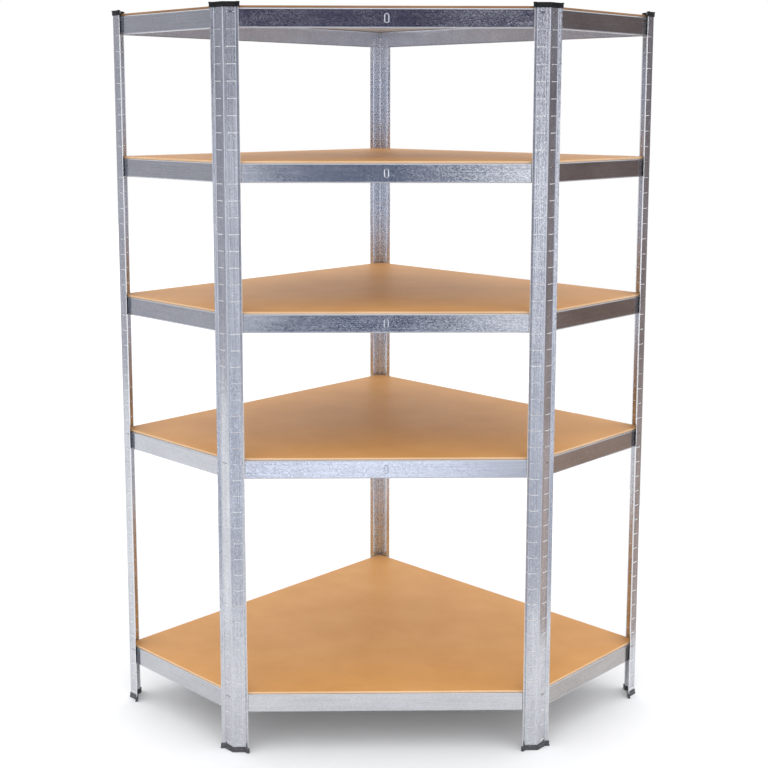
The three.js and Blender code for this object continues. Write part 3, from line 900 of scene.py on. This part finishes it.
world = bpy.data.worlds.new("studio")
world.use_nodes = True
bpy.context.scene.world = world
sky = world.node_tree
sky.nodes.clear()
direction = add_node(sky, "ShaderNodeTexCoord").outputs["Generated"]
axes = add_node(sky, "ShaderNodeSeparateXYZ", inputs={0: direction})


# The sockets of a mix node that take its two colours, and the one that gives the mixed colour.
COLOUR_BEFORE, COLOUR_AFTER, COLOUR_MIXED = 6, 7, 2


def light(red, green, blue):
    """A sky radiance."""
    return (red, green, blue, 1)


def graded(first, steps):
    """A sky colour that changes in steps. A step gives a part of the direction, the two values between
    which it comes in, and its colour: the colour so far is mixed with it by an eased share, which goes
    from 0 at the first value to 1 at the second."""
    colour = first
    for part, low, high, then in steps:
        share = add_node(sky, "ShaderNodeMapRange", {"interpolation_type": "SMOOTHSTEP"},
                         {"Value": part, "From Min": low, "From Max": high}).outputs[0]
        mixed = add_node(sky, "ShaderNodeMix", {"data_type": "RGBA"},
                         {0: share, COLOUR_BEFORE: colour, COLOUR_AFTER: then})
        colour = mixed.outputs[COLOUR_MIXED]
    return colour


towards_x, towards_y, upwards = axes.outputs
sideways = add_node(sky, "ShaderNodeMath", {"operation": "ABSOLUTE"}, {0: towards_x}).outputs[0]

# To the sides, behind the unit's middle: pale on the left and brown on the right.
left_side = graded(light(0.66, 0.66, 0.72), [(upwards, -0.18, 0.05, light(0.58, 0.58, 0.63))])
right_side = graded(light(0.62, 0.48, 0.41), [
    (upwards, -0.27, -0.18, light(0.31, 0.235, 0.21)),
    (upwards, -0.1, 0.0, light(0.24, 0.205, 0.215)),
])
outer_sides = graded(left_side, [(towards_x, -0.7, 0.7, right_side)])

# To the sides, in front of the unit's middle: a lit screen, and behind it a dim bluish strip that is
# bright low down. The screen reaches farther back on the right.
dim_side = graded(light(1.35, 1.25, 1.18), [
    (upwards, -0.27, -0.17, light(0.46, 0.49, 0.56)),
    (upwards, -0.12, 0.0, light(0.14, 0.17, 0.24)),
])
lit_screen = light(0.66, 0.68, 0.80)
inner_left = graded(lit_screen, [(towards_y, -0.16, -0.11, dim_side)])
inner_right = graded(lit_screen, [(towards_y, -0.06, 0.0, dim_side)])
inner_sides = graded(inner_left, [(towards_x, -0.7, 0.7, inner_right)])
side_walls = graded(inner_sides, [(towards_y, 0.02, 0.07, outer_sides)])

# To the front: a dark column in the middle with one bright band low down, which the front beams show, and
# to each side of it a lit panel, dimmer in its lower part, which the front posts show. The column widens
# above the horizon.
column = graded(light(0.45, 0.46, 0.52), [
    (upwards, -0.33, -0.29, light(1.75, 1.85, 2.15)),
    (upwards, -0.235, -0.205, light(0.03, 0.055, 0.13)),
    (upwards, -0.12, -0.07, light(0.17, 0.22, 0.35)),
    (upwards, -0.05, 0.02, light(0.05, 0.045, 0.10)),
])
panels = graded(light(0.82, 0.83, 0.90), [
    (upwards, -0.42, -0.32, light(0.50, 0.52, 0.60)),
    (upwards, -0.22, -0.15, light(1.65, 1.67, 1.76)),
])
above_horizon = add_node(sky, "ShaderNodeMapRange", {"interpolation_type": "SMOOTHSTEP"},
                         {"Value": upwards, "From Min": -0.03, "From Max": 0.05}).outputs[0]
past_column = add_node(sky, "ShaderNodeMath", {"operation": "MULTIPLY_ADD"},
                       {0: above_horizon, 1: -0.12, 2: sideways}).outputs[0]
front = graded(column, [(past_column, 0.06, 0.14, panels)])

# The whole room: the front and the sides, a lit ceiling over them, an even wall behind, and the middle of
# the ceiling. The camera itself sees plain white.
whole = graded(front, [
    (sideways, 0.7, 0.92, side_walls),
    (upwards, 0.2, 0.42, light(1.55, 1.53, 1.50)),
    (towards_y, 0.3, 0.9, light(1.05, 1.05, 1.05)),
    (upwards, 0.35, 0.85, light(1.52, 1.52, 1.52)),
])
seen = add_node(sky, "ShaderNodeLightPath").outputs["Is Camera Ray"]
shown = add_node(sky, "ShaderNodeMix", {"data_type": "RGBA"},
                 {0: seen, COLOUR_BEFORE: whole, COLOUR_AFTER: light(1, 1, 1)}).outputs[COLOUR_MIXED]
background = add_node(sky, "ShaderNodeBackground", inputs={"Color": shown, "Strength": 1})
add_node(sky, "ShaderNodeOutputWorld", inputs={"Surface": background.outputs[0]})

camera = bpy.data.objects.new("camera", bpy.data.cameras.new("camera"))
bpy.context.scene.collection.objects.link(camera)
bpy.context.scene.camera = camera
FRAME_PIXELS = 768
FOCAL_PIXELS = 1287.0
CAMERA_SIDE = -60
CAMERA_DISTANCE = 3963
CAMERA_HEIGHT = 1566
CAMERA_YAW, CAMERA_PITCH, CAMERA_ROLL = -0.98, -7.80, -0.069
camera.data.lens = FOCAL_PIXELS / FRAME_PIXELS * camera.data.sensor_width
camera.data.shift_x = 0.002
camera.data.shift_y = -0.13
camera.data.clip_end = 100
camera.matrix_world = (
    Matrix.Translation((CAMERA_SIDE * MM, (rear_line - CAMERA_DISTANCE) * MM, CAMERA_HEIGHT * MM))
    @ Matrix.Rotation(math.radians(CAMERA_YAW), 4, "Z")
    @ Matrix.Rotation(math.radians(CAMERA_PITCH), 4, "X")
    @ Matrix.Rotation(math.radians(CAMERA_ROLL), 4, "Y")
    @ Matrix.Rotation(math.pi / 2, 4, "X")
)
bpy.context.scene.view_settings.view_transform = "Standard"
